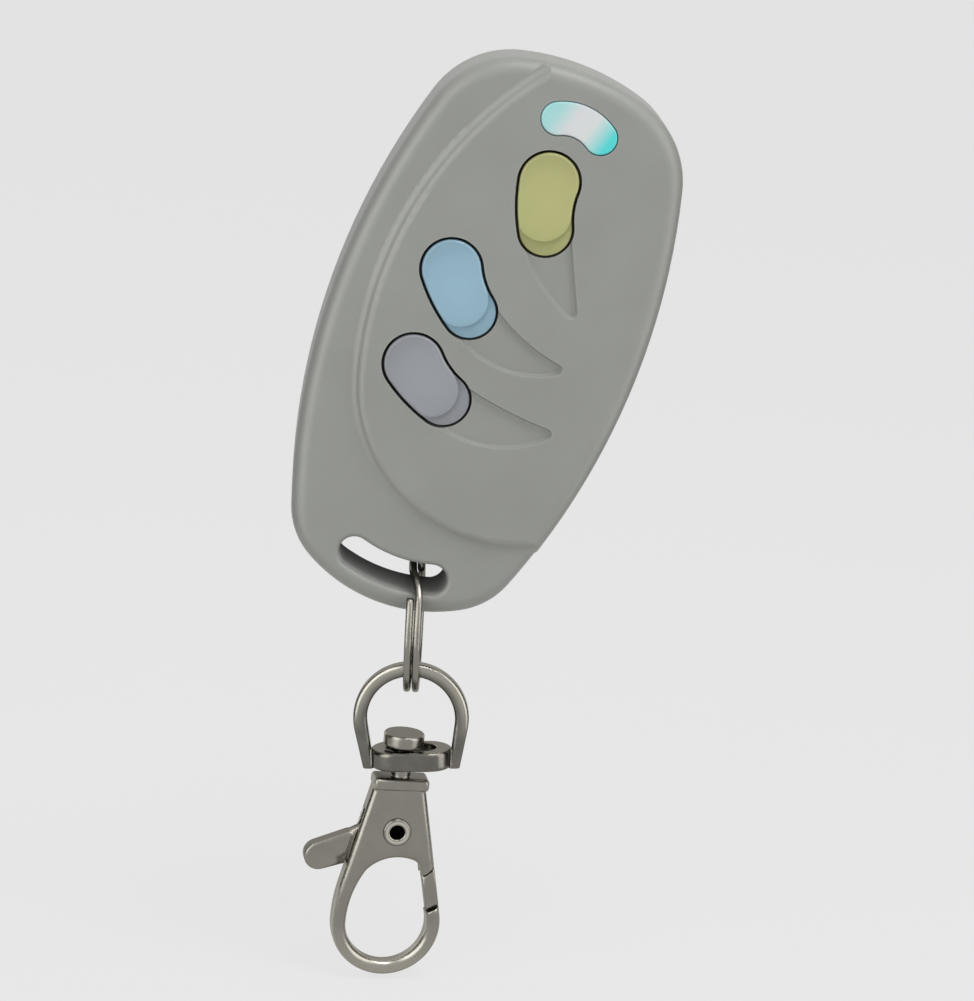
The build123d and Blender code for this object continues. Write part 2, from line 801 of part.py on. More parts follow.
# Encoder chip with its two rows of leads
with BuildPart() as encoder_chip:
    with BuildSketch(level(board_top)):
        with Locations(chip_centre):
            Rectangle(chip_size[0], chip_size[1])
    extrude(amount=chip_size[2])
    lead_row = (chip_size[0] + chip_lead_size[0]) / 2
    for side in (-lead_row, lead_row):
        with BuildSketch(level(board_top)):
            with Locations((chip_centre[0] + side, chip_centre[1])):
                with GridLocations(chip_lead_pitch, chip_lead_pitch, 1, chip_lead_count):
                    Rectangle(chip_lead_size[0], chip_lead_size[1])
        extrude(amount=chip_lead_size[2])
encoder_chip.part.label = "encoder_chip"
export_step(encoder_chip.part, "parts/encoder_chip.step")

# Radio resonator: ceramic base with a smaller lid
with BuildPart() as saw_resonator:
    with BuildSketch(level(board_top)):
        with Locations(resonator_centre):
            Rectangle(resonator_size[0], resonator_size[1])
    extrude(amount=resonator_size[2] - resonator_lid_height)
    with BuildSketch(level(board_top + resonator_size[2] - resonator_lid_height)):
        with Locations(resonator_centre):
            Rectangle(resonator_size[0] - resonator_lid_inset, resonator_size[1] - resonator_lid_inset)
    extrude(amount=resonator_lid_height)
saw_resonator.part.label = "saw_resonator"
export_step(saw_resonator.part, "parts/saw_resonator.step")

# Small chip parts in a grid beside the encoder
with BuildPart() as chip_parts:
    with BuildSketch(level(board_top)):
        with Locations(small_part_centre):
            with GridLocations(*small_part_spacing, *small_part_counts):
                Rectangle(small_part_size[0], small_part_size[1])
    extrude(amount=small_part_size[2])
chip_parts.part.label = "chip_parts"
export_step(chip_parts.part, "parts/chip_parts.step")

# Switches on the board, one under each button, and their plungers
with BuildPart() as switch_body_upper:
    add(switch_body_part("upper"))
switch_body_upper.part.label = "switch_body_upper"
export_step(switch_body_upper.part, "parts/switch_body_upper.step")

with BuildPart() as switch_body_middle:
    add(switch_body_part("middle"))
switch_body_middle.part.label = "switch_body_middle"
export_step(switch_body_middle.part, "parts/switch_body_middle.step")

with BuildPart() as switch_body_lower:
    add(switch_body_part("lower"))
switch_body_lower.part.label = "switch_body_lower"
export_step(switch_body_lower.part, "parts/switch_body_lower.step")

with BuildPart() as switch_plunger_upper:
    add(plunger_part("upper"))
switch_plunger_upper.part.label = "switch_plunger_upper"
export_step(switch_plunger_upper.part, "parts/switch_plunger_upper.step")

with BuildPart() as switch_plunger_middle:
    add(plunger_part("middle"))
switch_plunger_middle.part.label = "switch_plunger_middle"
export_step(switch_plunger_middle.part, "parts/switch_plunger_middle.step")

with BuildPart() as switch_plunger_lower:
    add(plunger_part("lower"))
switch_plunger_lower.part.label = "switch_plunger_lower"
export_step(switch_plunger_lower.part, "parts/switch_plunger_lower.step")

# Buttons: yellow, blue and grey
with BuildPart() as button_upper:
    add(button_part("upper"))
button_upper.part.label = "button_upper"
export_step(button_upper.part, "parts/button_upper.step")

with BuildPart() as button_middle:
    add(button_part("middle"))
button_middle.part.label = "button_middle"
export_step(button_middle.part, "parts/button_middle.step")

with BuildPart() as button_lower:
    add(button_part("lower"))
button_lower.part.label = "button_lower"
export_step(button_lower.part, "parts/button_lower.step")

# Light window: curved lens with a flange behind the front wall
with BuildPart() as led_lens:
    with BuildSketch(level(ceiling - window_flange_thickness)):
        SlotArc(window_path, window_width + 2 * window_flange)
    extrude(amount=window_flange_thickness)
    with BuildSketch(level(ceiling - overlap / 2)):
        SlotArc(window_path, window_width - 2 * window_clearance)
    extrude(amount=case_depth - ceiling + overlap / 2)
    fillet(led_lens.faces().sort_by(Axis.Y)[0].edges(), window_round)
led_lens.part.label = "led_lens"
export_step(led_lens.part, "parts/led_lens.step")

# Split ring round the bar of the slot: a turn in each plane, joined by a slanting crossing
turn_span = 360 - ring_crossing_span
crossing_ends = (
    ring_crossing_angle - ring_crossing_span / 2,
    ring_crossing_angle + ring_crossing_span / 2,
)
with BuildPart() as split_ring:
    with BuildSketch(ring_wire_plane(crossing_ends[1], -ring_pitch / 2)):
        add(ring_wire_face())
    revolve(axis=ring_axis, revolution_arc=turn_span)
    with BuildSketch(ring_wire_plane(crossing_ends[1], ring_pitch / 2)):
        add(ring_wire_face())
    revolve(axis=ring_axis, revolution_arc=turn_span)
    for step in range(ring_sections):
        share = step / (ring_sections - 1)
        shift = ring_pitch * (share * share * (3 - 2 * share) - 0.5)
        with BuildSketch(ring_wire_plane(crossing_ends[0] + ring_crossing_span * share, shift)):
            add(ring_wire_face())
    loft()
split_ring.part.label = "split_ring"
export_step(split_ring.part, "parts/split_ring.step")
print("split ring: least gap between its turns", round(ring_turn_gap, 2), "mm")

# Swivel eye: arch on two legs, and the base with its oval hole
with BuildPart() as eye_base:
    with BuildSketch(eye_base_plane):
        SlotOverall(base_length, base_depth)
    extrude(amount=-base_thickness)
    fillet(eye_base.faces().filter_by(Plane(origin=(0, 0, 0), z_dir=eye_up)).edges(), base_round)

with BuildPart() as swivel_eye:
    with BuildSketch(eye_plane):
        with BuildLine():
            RadiusArc((0, eye_radius), eye_outer_end, eye_radius)
            Polyline(eye_outer_end, eye_foot, eye_foot_inside, eye_inner_end)
            RadiusArc(eye_inner_end, (0, eye_inner_radius), -eye_inner_radius)
            mirror(about=Plane.YZ)
        make_face()
    extrude(amount=eye_thickness / 2, both=True)
    sides = swivel_eye.faces().filter_by(Plane(origin=(0, 0, 0), z_dir=chain_front))
    fillet(sides.edges().filter_by(lambda edge: edge.length > eye_foot_width + overlap), eye_wire_round)
    add(eye_base.part)
    with BuildSketch(eye_base_plane):
        SlotOverall(base_hole_length, base_hole_depth)
    extrude(amount=-base_thickness, mode=Mode.SUBTRACT)
swivel_eye.part.label = "swivel_eye"
export_step(swivel_eye.part, "parts/swivel_eye.step")

# Snap hook body, drawn in the hook's own plane: flat hook, collar, neck and head
with BuildPart() as hook_plate:
    with BuildSketch():
        with BuildLine():
            Line(shoulder_left, flank_end)
            TangentArc(flank_end, loop_left, tangent=flank_line)
            ThreePointArc(loop_left, loop_bottom, loop_right)
            Line(loop_right, shoulder_right)
            Line(shoulder_right, shoulder_left)
        make_face()
        with BuildSketch(mode=Mode.PRIVATE) as void:
            with BuildLine():
                ThreePointArc(arch_left, arch_top, arch_right)
                Line(arch_right, void_right)
                ThreePointArc(void_right, void_bottom, void_left)
                TangentArc(void_left, arch_left, tangent=(0, 1))
            make_face()
            fillet(void.vertices().sort_by(Axis.Y)[-2:], arch_corner)
        add(void.sketch, mode=Mode.SUBTRACT)
    extrude(amount=body_depth / 2, both=True)
    with BuildSketch(profile_plane):
        with BuildLine():
            Polyline((0, 0), (0, body_depth / 2), (-taper_start, body_depth / 2))
            Line((-taper_end, hook_depth / 2), (-taper_end, 0))
            TangentArc((-taper_start, body_depth / 2), (-taper_end, hook_depth / 2), tangent=(-1, 0))
            mirror(about=Plane.XZ)
        make_face()
    extrude(amount=case_width, both=True, mode=Mode.INTERSECT)
    rims = hook_plate.faces().filter_by(faces_hook_front).edges()
    fillet(rims.filter_by(lambda edge: not runs_across_hook(edge)), body_round)

with BuildPart() as hook_stem:
    with BuildSketch(stem_plane):
        Rectangle(collar_width, collar_depth)
    extrude(amount=-collar_height)
    fillet(hook_stem.edges(), collar_round)
    with BuildSketch(stem_plane.offset(-overlap)):
        Circle(neck_radius)
    extrude(amount=head_base - collar_top + 2 * overlap)
    with BuildSketch(stem_plane.offset(head_base - collar_top)):
        Circle(head_radius)
    extrude(amount=head_height)
    round_edges = hook_stem.edges().filter_by(lambda edge: edge.is_closed)
    fillet(round_edges.filter_by(lambda edge: edge.radius > head_radius - overlap), head_round)

with BuildPart() as clasp_form:
    add(hook_plate.part)
    add(hook_stem.part)
    with BuildSketch():
        with Locations(pivot):
            Circle(hook_tip_radius)
            Circle(cheek_radius, mode=Mode.SUBTRACT)
            Rectangle(case_width, case_length, align=(Align.MIN, Align.MAX), mode=Mode.INTERSECT)
    extrude(amount=body_depth, both=True, mode=Mode.SUBTRACT)
    with BuildSketch():
        add(arm_face(tab_root, tab_root_radius, lever_gap, (0, lever_opening)))
        add(arm_face(gate_arm_place, gate_arm_radius, lever_gap, (0, lever_opening)))
    extrude(amount=pocket_width / 2, both=True, mode=Mode.SUBTRACT)
    with BuildSketch():
        with Locations(pivot):
            Circle(rivet_radius + rivet_clearance)
    extrude(amount=body_depth, both=True, mode=Mode.SUBTRACT)

with BuildPart() as clasp_body:
    add(clasp_form.part.moved(hook_place))
clasp_body.part.label = "clasp_body"
export_step(clasp_body.part, "parts/clasp_body.step")

# Lever: thin plate in the pocket, with the gate on one arm and the thumb tab on the other
with BuildPart() as gate:
    with BuildSketch():
        with Locations(pivot):
            Circle(gate_end_radius)
            Circle(gate_start_radius, mode=Mode.SUBTRACT)
        with BuildSketch(mode=Mode.PRIVATE) as strip:
            with BuildLine():
                Polyline(
                    along_edge(0, cheek_radius),
                    along_edge(0, hook_tip_radius),
                    along_edge(gate_width, hook_tip_radius),
                    along_edge(gate_width, cheek_radius - gate_width),
                    close=True,
                )
            make_face()
        add(strip.sketch, mode=Mode.INTERSECT)
    extrude(amount=grip_thickness / 2, both=True)
    fillet(gate.faces().filter_by(faces_hook_front).edges(), lever_round)

with BuildPart() as thumb_tab:
    with BuildSketch():
        with Locations(tab_root):
            Circle(tab_root_radius)
        with Locations(tab_end):
            Circle(tab_end_radius)
        make_hull()
    extrude(amount=grip_thickness / 2, both=True)
    fillet(thumb_tab.faces().filter_by(faces_hook_front).edges(), lever_round)
    with BuildSketch():
        with BuildLine():
            Polyline(
                flank_point(-tab_gap, -case_width),
                flank_point(-tab_gap, case_width),
                flank_point(case_width, case_width),
                flank_point(case_width, -case_width),
                close=True,
            )
        make_face()
    extrude(amount=body_depth, both=True, mode=Mode.SUBTRACT)

with BuildPart() as lever_form:
    add(gate.part)
    add(thumb_tab.part)
    with BuildSketch(Plane.XY.offset(pocket_width / 2 - lever_side_gap - lever_thickness)):
        add(arm_face(tab_root, tab_root_radius, 0, (0,)))
        add(arm_face(gate_arm_place, gate_arm_radius, 0, (0,)))
        with Locations(pivot):
            Circle(rivet_radius + lever_bore_clearance, mode=Mode.SUBTRACT)
    extrude(amount=lever_thickness)

with BuildPart() as clasp_lever:
    add(lever_form.part.moved(hook_place))
clasp_lever.part.label = "clasp_lever"
export_step(clasp_lever.part, "parts/clasp_lever.step")

# Rivet through both cheeks and the lever, hollow from the front
with BuildPart() as rivet_form:
    for side in (-1, 1):
        with BuildPart(mode=Mode.PRIVATE) as flange:
            with BuildSketch(Plane.XY.offset(side * body_depth / 2)):
                with Locations(pivot):
                    Circle(rivet_flange_radius)
            extrude(amount=side * rivet_flange_height)
            rims = flange.edges().filter_by(GeomType.CIRCLE)
            fillet(rims.sort_by(Axis.Z, reverse=side < 0)[-1], rivet_flange_round)
        add(flange.part)
    with BuildSketch():
        with Locations(pivot):
            Circle(rivet_radius)
    extrude(amount=body_depth / 2, both=True)
    with BuildSketch(Plane.XY.offset(body_depth / 2 + rivet_flange_height)):
        with Locations(pivot):
            Circle(rivet_hole_radius)
    extrude(amount=-rivet_hole_depth, mode=Mode.SUBTRACT)
    fillet(rivet_form.edges().filter_by(GeomType.CIRCLE).sort_by(Axis.Z)[-1], rivet_mouth_round)

with BuildPart() as lever_rivet:
    add(rivet_form.part.moved(hook_place))
lever_rivet.part.label = "lever_rivet"
export_step(lever_rivet.part, "parts/lever_rivet.step")

# Lever spring: one loop of wire round the rivet, beside the lever, with two legs
with BuildPart() as spring_form:
    with BuildLine(Plane.XY.offset(spring_gap + spring_wire_radius - pocket_width / 2)) as wire:
        coil = CenterArc(pivot, spring_radius, -90, spring_turn)
        Line(coil @ 0 - (coil % 0) * spring_leg, coil @ 0)
        Line(coil @ 1, coil @ 1 + (coil % 1) * spring_leg)
    with BuildSketch(Plane(origin=wire.line @ 0, z_dir=wire.line % 0)):
        Circle(spring_wire_radius)
    sweep()

with BuildPart() as lever_spring:
    add(spring_form.part.moved(hook_place))
lever_spring.part.label = "lever_spring"
export_step(lever_spring.part, "parts/lever_spring.step")
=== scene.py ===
import json
from math import copysign, cos, pi, radians, sin

import bmesh
import bpy
from mathutils import Matrix, Vector


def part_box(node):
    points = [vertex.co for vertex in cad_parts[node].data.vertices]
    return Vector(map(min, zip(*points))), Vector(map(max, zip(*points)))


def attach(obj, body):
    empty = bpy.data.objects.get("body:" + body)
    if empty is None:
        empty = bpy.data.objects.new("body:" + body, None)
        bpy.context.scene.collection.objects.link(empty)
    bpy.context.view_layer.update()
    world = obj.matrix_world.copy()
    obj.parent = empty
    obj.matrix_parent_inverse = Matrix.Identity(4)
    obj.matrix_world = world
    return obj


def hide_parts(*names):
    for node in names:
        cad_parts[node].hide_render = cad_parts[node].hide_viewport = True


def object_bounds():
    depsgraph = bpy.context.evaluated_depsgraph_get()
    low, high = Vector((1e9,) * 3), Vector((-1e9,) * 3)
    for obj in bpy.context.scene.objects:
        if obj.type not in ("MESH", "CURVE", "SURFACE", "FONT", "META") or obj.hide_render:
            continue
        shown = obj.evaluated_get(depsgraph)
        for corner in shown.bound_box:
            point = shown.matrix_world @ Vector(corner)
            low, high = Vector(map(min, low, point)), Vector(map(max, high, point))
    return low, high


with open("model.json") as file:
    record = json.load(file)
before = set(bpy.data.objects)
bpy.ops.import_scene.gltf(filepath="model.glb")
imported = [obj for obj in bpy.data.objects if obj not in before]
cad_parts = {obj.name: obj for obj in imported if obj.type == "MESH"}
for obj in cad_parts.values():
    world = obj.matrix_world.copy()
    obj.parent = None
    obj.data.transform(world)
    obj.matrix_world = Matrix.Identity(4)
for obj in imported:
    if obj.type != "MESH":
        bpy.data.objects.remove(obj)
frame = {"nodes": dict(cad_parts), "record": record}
cad_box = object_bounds()
scene = bpy.context.scene

# Directions of the row frame: the buttons face forward, along -Y, and the chain hangs down
REARWARD = Vector((0.0, 1.0, 0.0))
UP = Vector((0.0, 0.0, 1.0))


def turned_axes(degrees):
    """The sideways and the forward direction of a piece that is turned about the vertical."""
    turn = radians(degrees)
    return Vector((cos(turn), sin(turn), 0.0)), Vector((sin(turn), -cos(turn), 0.0))


HOOK_SIDE, HOOK_FRONT = turned_axes(7.0)
CHAIN_SIDE, CHAIN_FRONT = turned_axes(-3.0)


def put_in_scene(name, data):
    thing = bpy.data.objects.new(name, data)
    scene.collection.objects.link(thing)
    return thing


def dress(mesh, material):
    """Gives the whole mesh one material."""
    mesh.materials.clear()
    mesh.materials.append(material)


def new_mesh(name, verts, faces, material):
    mesh = bpy.data.meshes.new(name)
    mesh.from_pydata(verts, [], faces)
    dress(mesh, material)
    return mesh


# Camera: the photograph's view, with its place and axes in the row frame

CAMERA_PLACE = Vector((-0.022920, -0.412575, 0.078567))
CAMERA_RIGHT = Vector((0.994837, -0.040171, 0.093198))
CAMERA_UP = Vector((-0.081066, 0.237930, 0.967893))
CAMERA_BACK = Vector((-0.061056, -0.970451, 0.233445))

# Focal length and longer side of the photograph, in its pixels, and that side on the sensor, in mm
FOCAL_PIXELS = 3612.0
FRAME_PIXELS = 1001.0
SENSOR = 36.0

NEAREST, FARTHEST = 0.01, 20.0


def make_camera():
    data = bpy.data.cameras.new("camera")
    data.sensor_width = SENSOR
    data.lens = FOCAL_PIXELS * SENSOR / FRAME_PIXELS
    data.clip_start, data.clip_end = NEAREST, FARTHEST
    camera = put_in_scene("camera", data)
    axes = Matrix((CAMERA_RIGHT, CAMERA_UP, CAMERA_BACK)).transposed()
    camera.matrix_world = Matrix.Translation(CAMERA_PLACE) @ axes.to_4x4()
    scene.camera = camera


make_camera()


# Nodes

# Most of a noise's values lie between these
NOISE_SPAN = (0.3, 0.7)

# Sockets of the Mix node where it mixes colours
MIX_FACTOR, MIX_FIRST, MIX_SECOND, MIX_RESULT = 0, 6, 7, 2


class Wiring:
    """A node tree under construction: small helpers keep its wiring short."""

    def __init__(self, tree):
        self.tree = tree
        self.nodes = tree.nodes

    def feed(self, target, value):
        """Links a socket to the target, or sets the target to a number, a vector or a colour."""
        if isinstance(value, bpy.types.NodeSocket):
            self.tree.links.new(value, target)
        elif target.type == "RGBA":
            target.default_value = (*value, 1.0)
        else:
            target.default_value = value

    def add(self, kind, inputs=None, **settings):
        """Adds a node with these settings and inputs, which are given by name or by number."""
        node = self.nodes.new(kind)
        for key, value in settings.items():
            setattr(node, key, value)
        for key, value in (inputs or {}).items():
            self.feed(node.inputs[key], value)
        return node

    def numbers(self, operation, *values):
        """Math on one or two numbers."""
        node = self.add("ShaderNodeMath", dict(enumerate(values)), operation=operation)
        return node.outputs["Value"]

    def times(self, first, second):
        return self.numbers("MULTIPLY", first, second)

    def plus(self, first, second):
        return self.numbers("ADD", first, second)

    def seen(self):
        """Is 1 for what the camera sees, also in metal and glass, and 0 for light on surfaces."""
        path = self.add("ShaderNodeLightPath").outputs
        direct = self.numbers("MAXIMUM", path["Is Camera Ray"], path["Is Glossy Ray"])
        return self.numbers("MAXIMUM", direct, path["Is Transmission Ray"])

    def mix_shaders(self, factor, first, second):
        return self.add("ShaderNodeMixShader", {0: factor, 1: first, 2: second}).outputs["Shader"]


class Shader(Wiring):
    """The nodes of a material, measured in metres of the row frame."""

    def __init__(self, name):
        self.material = bpy.data.materials.new(name)
        self.material.use_nodes = True
        super().__init__(self.material.node_tree)
        self.surface = self.nodes["Principled BSDF"]
        coordinates = self.add("ShaderNodeTexCoord")
        self.place = coordinates.outputs["Object"]
        self.normal = coordinates.outputs["Normal"]

    def put(self, socket, value):
        """Sets or links an input of the material's surface."""
        self.feed(self.surface.inputs[socket], value)

    # Numbers

    def run(self, value, start, end, low=0.0, high=1.0):
        """Runs from low to high as the value goes from start to end, and no further."""
        inputs = {"Value": value, "From Min": start, "From Max": end, "To Min": low, "To Max": high}
        return self.add("ShaderNodeMapRange", inputs).outputs["Result"]

    def vary(self, noise, low, high):
        """Spreads a noise over the range from low to high."""
        return self.run(noise, *NOISE_SPAN, low, high)

    def between(self, factor, low, high):
        """Runs from low to high as a factor goes from 0 to 1."""
        return self.run(factor, 0.0, 1.0, low, high)

    def noise(self, scale, detail=2.0, roughness=0.5, stretch=None):
        """Noise whose grain is one over scale metres, stretched along an axis if asked."""
        place = self.place
        if stretch is not None:
            place = self.add("ShaderNodeMapping", {"Vector": place, "Scale": stretch}).outputs["Vector"]
        inputs = {"Vector": place, "Scale": scale, "Detail": detail, "Roughness": roughness}
        return self.add("ShaderNodeTexNoise", inputs).outputs["Fac"]

    def vectors(self, operation, result, *values):
        """Vector Math, and which of its results is wanted."""
        node = self.add("ShaderNodeVectorMath", dict(enumerate(values)), operation=operation)
        return node.outputs[result]

    def dot(self, first, second):
        return self.vectors("DOT_PRODUCT", "Value", first, second)

    def along(self, direction, start, end):
        """Runs from 0 to 1 between two heights along a direction."""
        return self.run(self.dot(self.place, direction), start, end)

    def distance(self, centre, start, end):
        """Runs from 0 to 1 between two distances from a point."""
        return self.run(self.vectors("DISTANCE", "Value", self.place, centre), start, end)

    def off_axis(self, centre, axis, start, end):
        """Runs from 0 to 1 between two distances from a line through a point."""
        reach = self.vectors("SUBTRACT", "Vector", self.place, centre)
        across = self.vectors("CROSS_PRODUCT", "Vector", reach, axis)
        return self.run(self.vectors("LENGTH", "Value", across), start, end)

    def facing(self, axis, start, end):
        """Runs from 0 to 1 between two cosines of a face's angle to an axis, whichever side it's on."""
        return self.run(self.numbers("ABSOLUTE", self.dot(self.normal, axis)), start, end)

    def edges(self, radius, start, end):
        """Runs from 0 on smooth faces to 1 on edges, between two cosines of the turn in this radius."""
        flat = self.add("ShaderNodeNewGeometry").outputs["Normal"]
        return self.run(self.dot(self.rounded(radius), flat), start, end)

    def hollows(self, reach, start, end):
        """Runs from 0 in the open to 1 in corners and holes, between two shares of open space."""
        hidden = self.add("ShaderNodeAmbientOcclusion", {"Distance": reach}, samples=8)
        return self.run(hidden.outputs["AO"], start, end)

    # Colours

    def ramp(self, value, stops):
        """Runs through colours, each at its value."""
        node = self.add("ShaderNodeValToRGB", {"Fac": value})
        elements = node.color_ramp.elements
        while len(elements) < len(stops):
            elements.new(0.5)
        for element, (position, colour) in zip(elements, stops):
            element.position = position
            element.color = (*colour, 1.0)
        return node.outputs["Color"]

    def tint(self, noise, first, second):
        """Spreads a noise over the range between two colours."""
        return self.ramp(noise, list(zip(NOISE_SPAN, (first, second))))

    def blend(self, factor, first, second):
        """Mixes two colours, each a plain colour or a socket."""
        inputs = {MIX_FACTOR: factor, MIX_FIRST: first, MIX_SECOND: second}
        return self.add("ShaderNodeMix", inputs, data_type="RGBA").outputs[MIX_RESULT]

    # Normals

    def rounded(self, radius):
        """The normal of the surface with its edges rounded to this radius."""
        return self.add("ShaderNodeBevel", {"Radius": radius}, samples=6).outputs["Normal"]

    def bump(self, height, depth, under=None):
        """The normal of a surface whose height varies by this depth, on top of another normal."""
        inputs = {"Height": height, "Strength": 1.0, "Distance": depth}
        if under is not None:
            inputs["Normal"] = under
        return self.add("ShaderNodeBump", inputs).outputs["Normal"]


# Materials

# Scales of the fine textures, and their depth in plastic
PLASTIC_SCALE = 4200.0
RUBBER_SCALE = 3600.0
METAL_SCALE = 2600.0
PLASTIC_DEPTH = 0.000012

# Reach of the painted highlight on the edges of plastic and metal, and how softly metal's edges are
# rounded
EDGE_REACH = 0.0003
SOFT_EDGE = 0.0004

# Cosines for faces that are turned away from an axis, that aren't level, and that are level
TURNED_AWAY = (0.75, 0.35)
NOT_LEVEL = (0.95, 0.60)
LEVEL = (0.60, 0.95)

# Painted shade in the case: where it starts, is full, and has faded, in front of the model's rearmost
# point
SLOT_SHADE_START = 0.0115
SLOT_SHADE_FULL = 0.0045
SLOT_SHADE_FADED = 0.0012

# Button: from its middle to its sides, and down its wall from its colour to the painted shade of the
# gap
BUTTON_CROWN = (0.0008, 0.0060)
BUTTON_WALL = (0.00062, 0.00090)

# Snap hook: heights above its foot between which the loop gets more and more painted highlight
HOOK_LOOP = (0.007, 0.0005)

# Swivel eye: width of its arch, the part of it with a painted highlight, and how the highlight fades at
# its feet
ARCH_BAND = 0.0016
ARCH_LIT = (0.8, 0.4)
ARCH_FADE = 0.002

# Rivet: from its axis out to its edge, the painted shade of its bore, and its rim's painted highlight
# and shade from there to the edge
RIVET_REACH = (0.0008, 0.0016)
BORE_SHADE = (0.08, (0.010, 0.009, 0.008))
RIVET_RIM = ((0.15, 0.35), (0.35, 0.75), (0.55, 1.1), (0.74, 0.75), (0.92, 0.35))

# Window: the slant of its light, its colours from end to end, and the depth and colour of its rim
LENS_SLANT = Vector((0.85, 0.0, -0.53))
LENS_COLOURS = (
    (0.10, (0.29, 0.63, 0.62)),
    (0.26, (0.36, 0.64, 0.63)),
    (0.42, (0.63, 0.64, 0.66)),
    (0.60, (0.62, 0.66, 0.65)),
    (0.80, (0.07, 0.62, 0.61)),
    (0.95, (0.05, 0.60, 0.60)),
)
LENS_RIM = (0.00003, 0.00022)
LENS_RIM_BLUE = (0.06, 0.20, 0.28)


def shade(colour, factor):
    """The colour, lighter or darker by this factor."""
    return tuple(min(1.0, part * factor) for part in colour)


def mottled(s, colour, scale, share):
    """Faint clouds in a colour: flow clouds on plastic, and a painted reflection on metal."""
    clouds = s.noise(scale, detail=3.0)
    return s.tint(clouds, shade(colour, 1 - share), shade(colour, 1 + share))


def moulded(name, colour, rough, mottle=0.04, coat=0.0):
    """Moulded plastic: a fine eroded texture and faint flow clouds."""
    s = Shader(name)
    s.put("Base Color", mottled(s, colour, scale=140.0, share=mottle))
    texture = s.noise(PLASTIC_SCALE, roughness=0.6)
    s.put("Roughness", s.vary(texture, rough - 0.05, rough + 0.05))
    s.put("Normal", s.bump(texture, PLASTIC_DEPTH))
    s.put("Coat Weight", coat)
    s.put("Coat Roughness", 0.25)
    return s.material


def case_moulding(name, colour):
    """The case: as moulded plastic, with a painted highlight on its edges, and painted shade that
    darkens its slot and the gaps round the buttons.
    """
    s = Shader(name)
    tone = mottled(s, colour, scale=120.0, share=0.035)
    # Painted highlight along the edges
    tone = s.blend(s.edges(EDGE_REACH, start=0.992, end=0.92), tone, shade(colour, 1.18))
    rearmost = cad_box[1].y
    inside = s.along(REARWARD, rearmost - SLOT_SHADE_START, rearmost - SLOT_SHADE_FULL)
    behind = s.along(REARWARD, rearmost - SLOT_SHADE_FULL, rearmost - SLOT_SHADE_FADED)
    walls = s.times(s.facing(REARWARD, *TURNED_AWAY), s.between(behind, 1.0, 0.3))
    # Painted shade, near black, on hidden walls deep in the case, in its slot and the gaps round the
    # buttons, weaker near the back face
    slot_shade = s.times(s.times(s.hollows(reach=0.009, start=0.92, end=0.62), inside), walls)
    s.put("Base Color", s.blend(slot_shade, tone, shade(colour, 0.04)))
    texture = s.noise(PLASTIC_SCALE, roughness=0.6)
    s.put("Roughness", s.plus(s.vary(texture, 0.38, 0.48), s.between(slot_shade, 0.0, 0.45)))
    s.put("Normal", s.bump(texture, PLASTIC_DEPTH))
    return s.material


def button_rubber(name, node, colour, gap):
    """Tinted rubber: full colour in the middle, deeper towards the sides, and painted shade on its wall
    in the gap round it.
    """
    s = Shader(name)
    low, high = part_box(node)
    middle = (low + high) / 2
    middle.y = low.y
    crown = s.distance(middle, *BUTTON_CROWN)
    tone = s.ramp(crown, [(0.0, shade(colour, 1.06)), (0.5, colour), (1.0, shade(colour, 0.80))])
    wall = s.along(REARWARD, *(low.y + depth for depth in BUTTON_WALL))
    # Painted shade of the gap on the button's wall
    s.put("Base Color", s.blend(wall, tone, gap))
    texture = s.noise(RUBBER_SCALE, roughness=0.6)
    s.put("Roughness", s.vary(texture, 0.36, 0.46))
    waves = s.bump(s.noise(scale=260.0, detail=1.0), depth=0.00003)
    s.put("Normal", s.bump(texture, depth=0.00001, under=waves))
    return s.material


def hook_highlight(s):
    """The snap hook has a painted highlight on its narrow sides, and on its loop, strongest at its
    foot.
    """
    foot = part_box("clasp_body")[0].z
    # Painted highlight on the loop and the narrow sides
    loop = s.along(UP, *(foot + height for height in HOOK_LOOP))
    sides = s.times(s.facing(HOOK_FRONT, *TURNED_AWAY), s.facing(UP, *NOT_LEVEL))
    return s.plus(s.between(loop, 0.0, 0.35), sides)


def eye_highlight(s):
    """The swivel eye has a painted highlight along the outside of its arch and on its level faces."""
    low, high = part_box("swivel_eye")
    middle = (low + high) / 2
    radius = (high.x - low.x) / 2
    middle.z = high.z - radius
    # Painted highlight along the outside of the arch and on the level faces
    outside = s.off_axis(middle, REARWARD, *(radius - share * ARCH_BAND for share in ARCH_LIT))
    arch = s.times(outside, s.along(UP, middle.z - ARCH_FADE, middle.z + ARCH_FADE))
    return s.plus(arch, s.between(s.facing(UP, *LEVEL), 0.0, 0.6))


